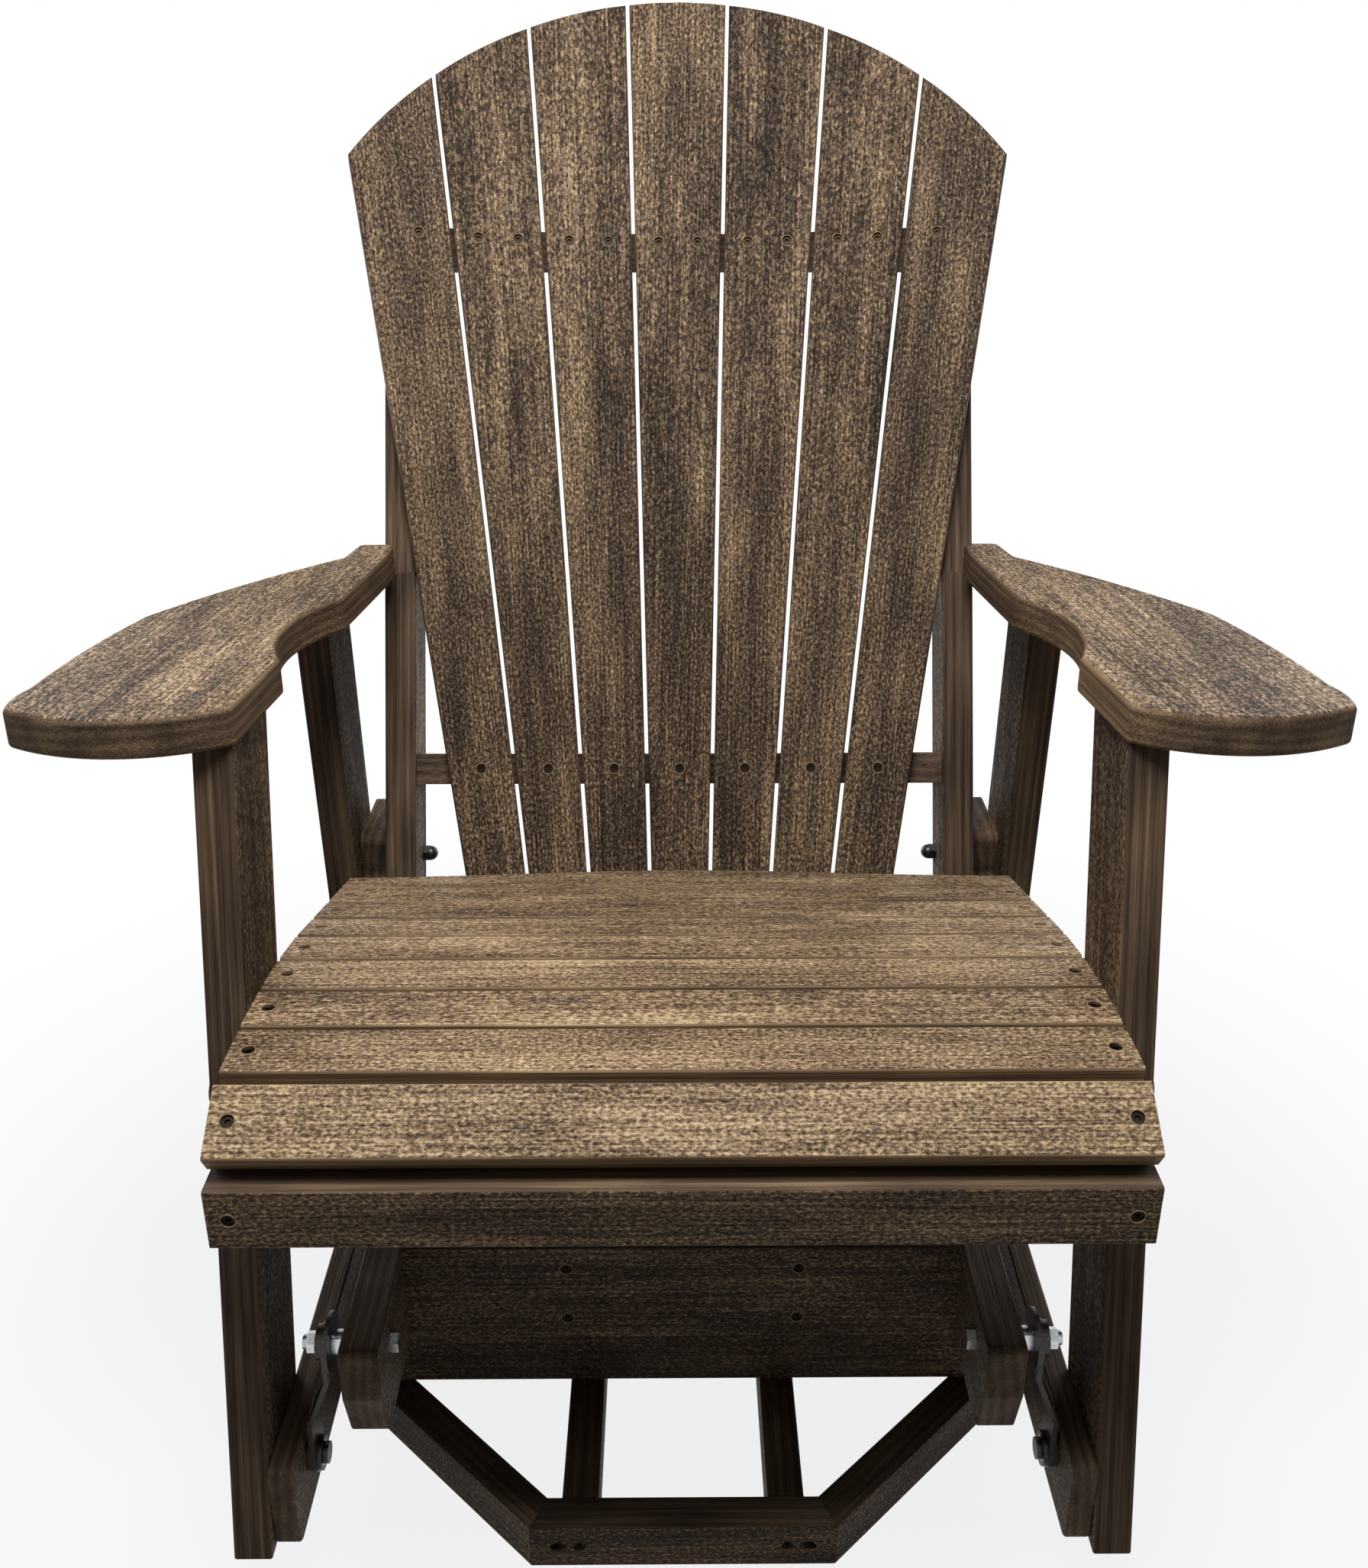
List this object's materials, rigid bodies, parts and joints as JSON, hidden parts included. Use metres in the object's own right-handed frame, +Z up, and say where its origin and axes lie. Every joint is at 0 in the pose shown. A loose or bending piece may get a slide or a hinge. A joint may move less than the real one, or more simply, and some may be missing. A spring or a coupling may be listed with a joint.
{
  "type": "swivel glider chair",
  "caption": "Slatted outdoor armchair with a fan back that glides on swing links and swivels on an octagonal base.",
  "frame": {"origin": "middle of the chair's footprint, on the floor", "axes": "+Z up, the seat faces -Y, +X to the right seen from the front"},
  "size_m": [0.9166, 0.8626, 1.1227],
  "materials": {
    "hdpe_lumber": "matte, with a streaky embossed grain along each board",
    "zinc_plated_steel": "bright zinc plating",
    "bearing_steel": "ground steel"
  },
  "bodies": {
    "base": {"ring_boards": "hdpe_lumber", "ring_cross_member_left": "hdpe_lumber", "ring_cross_member_right": "hdpe_lumber", "swivel_lower_plate": "zinc_plated_steel", "ring_screws": "zinc_plated_steel"},
    "glide_frame": {"swivel_upper_plate": "zinc_plated_steel", "swivel_balls": "bearing_steel", "lower_cross_board_front": "hdpe_lumber", "lower_cross_board_rear": "hdpe_lumber", "glide_rail_left": "hdpe_lumber", "glide_rail_right": "hdpe_lumber", "upper_cross_board_front": "hdpe_lumber", "upper_cross_board_rear": "hdpe_lumber", "bearer_left": "hdpe_lumber", "bearer_right": "hdpe_lumber", "frame_screws": "zinc_plated_steel", "upper_pivot_bolts": "zinc_plated_steel"},
    "link_front_left": {"swing_link_front_left": "zinc_plated_steel", "link_bearing_front_left": "bearing_steel"},
    "link_front_right": {"swing_link_front_right": "zinc_plated_steel", "link_bearing_front_right": "bearing_steel"},
    "link_rear_left": {"swing_link_rear_left": "zinc_plated_steel", "link_bearing_rear_left": "bearing_steel"},
    "link_rear_right": {"swing_link_rear_right": "zinc_plated_steel", "link_bearing_rear_right": "bearing_steel"},
    "chair": {"chair_rail_left": "hdpe_lumber", "chair_rail_right": "hdpe_lumber", "front_leg_left": "hdpe_lumber", "front_leg_right": "hdpe_lumber", "rear_leg_left": "hdpe_lumber", "rear_leg_right": "hdpe_lumber", "seat_side_left": "hdpe_lumber", "seat_side_right": "hdpe_lumber", "apron": "hdpe_lumber", "seat_slat_1": "hdpe_lumber", "seat_slat_2": "hdpe_lumber", "seat_slat_3": "hdpe_lumber", "seat_slat_4": "hdpe_lumber", "seat_slat_5": "hdpe_lumber", "seat_slat_6": "hdpe_lumber", "seat_slat_7": "hdpe_lumber", "seat_slat_8": "hdpe_lumber", "seat_slat_9": "hdpe_lumber", "upright_left": "hdpe_lumber", "upright_right": "hdpe_lumber", "lower_back_rail": "hdpe_lumber", "upper_back_rail": "hdpe_lumber", "back_slat_1": "hdpe_lumber", "back_slat_2": "hdpe_lumber", "back_slat_3": "hdpe_lumber", "back_slat_4": "hdpe_lumber", "back_slat_5": "hdpe_lumber", "back_slat_6": "hdpe_lumber", "back_slat_7": "hdpe_lumber", "arm_left": "hdpe_lumber", "arm_right": "hdpe_lumber", "chair_bolts": "zinc_plated_steel", "deck_screws": "zinc_plated_steel", "lower_pivot_bolts": "zinc_plated_steel"}
  },
  "joints": [
    {"name": "swivel", "type": "hinge", "parent": "base", "child": "glide_frame", "pos_m": [0, -0.09325, 0.04625], "axis": [0, 0, 1], "continuous": true},
    {"name": "glide", "type": "hinge", "parent": "glide_frame", "child": "link_front_left", "pos_m": [-0.265, -0.34725, 0.2], "axis": [1, 0, 0], "range_deg": [-20, 20]},
    {"name": "swing_front_right", "type": "hinge", "parent": "glide_frame", "child": "link_front_right", "pos_m": [0.265, -0.34725, 0.2], "axis": [1, 0, 0], "range_deg": [-20, 20]},
    {"name": "swing_rear_left", "type": "hinge", "parent": "glide_frame", "child": "link_rear_left", "pos_m": [-0.265, 0.16075, 0.2], "axis": [1, 0, 0], "range_deg": [-20, 20]},
    {"name": "swing_rear_right", "type": "hinge", "parent": "glide_frame", "child": "link_rear_right", "pos_m": [0.265, 0.16075, 0.2], "axis": [1, 0, 0], "range_deg": [-20, 20]},
    {"name": "chair_level", "type": "hinge", "parent": "link_front_left", "child": "chair", "pos_m": [-0.28, -0.34725, 0.089], "axis": [1, 0, 0], "range_deg": [-20, 20]}
  ],
  "couplings": [
    {"joint": "swing_front_right", "follows": "glide", "ratio": 1},
    {"joint": "swing_rear_left", "follows": "glide", "ratio": 1},
    {"joint": "swing_rear_right", "follows": "glide", "ratio": 1},
    {"joint": "chair_level", "follows": "glide", "ratio": -1}
  ]
}
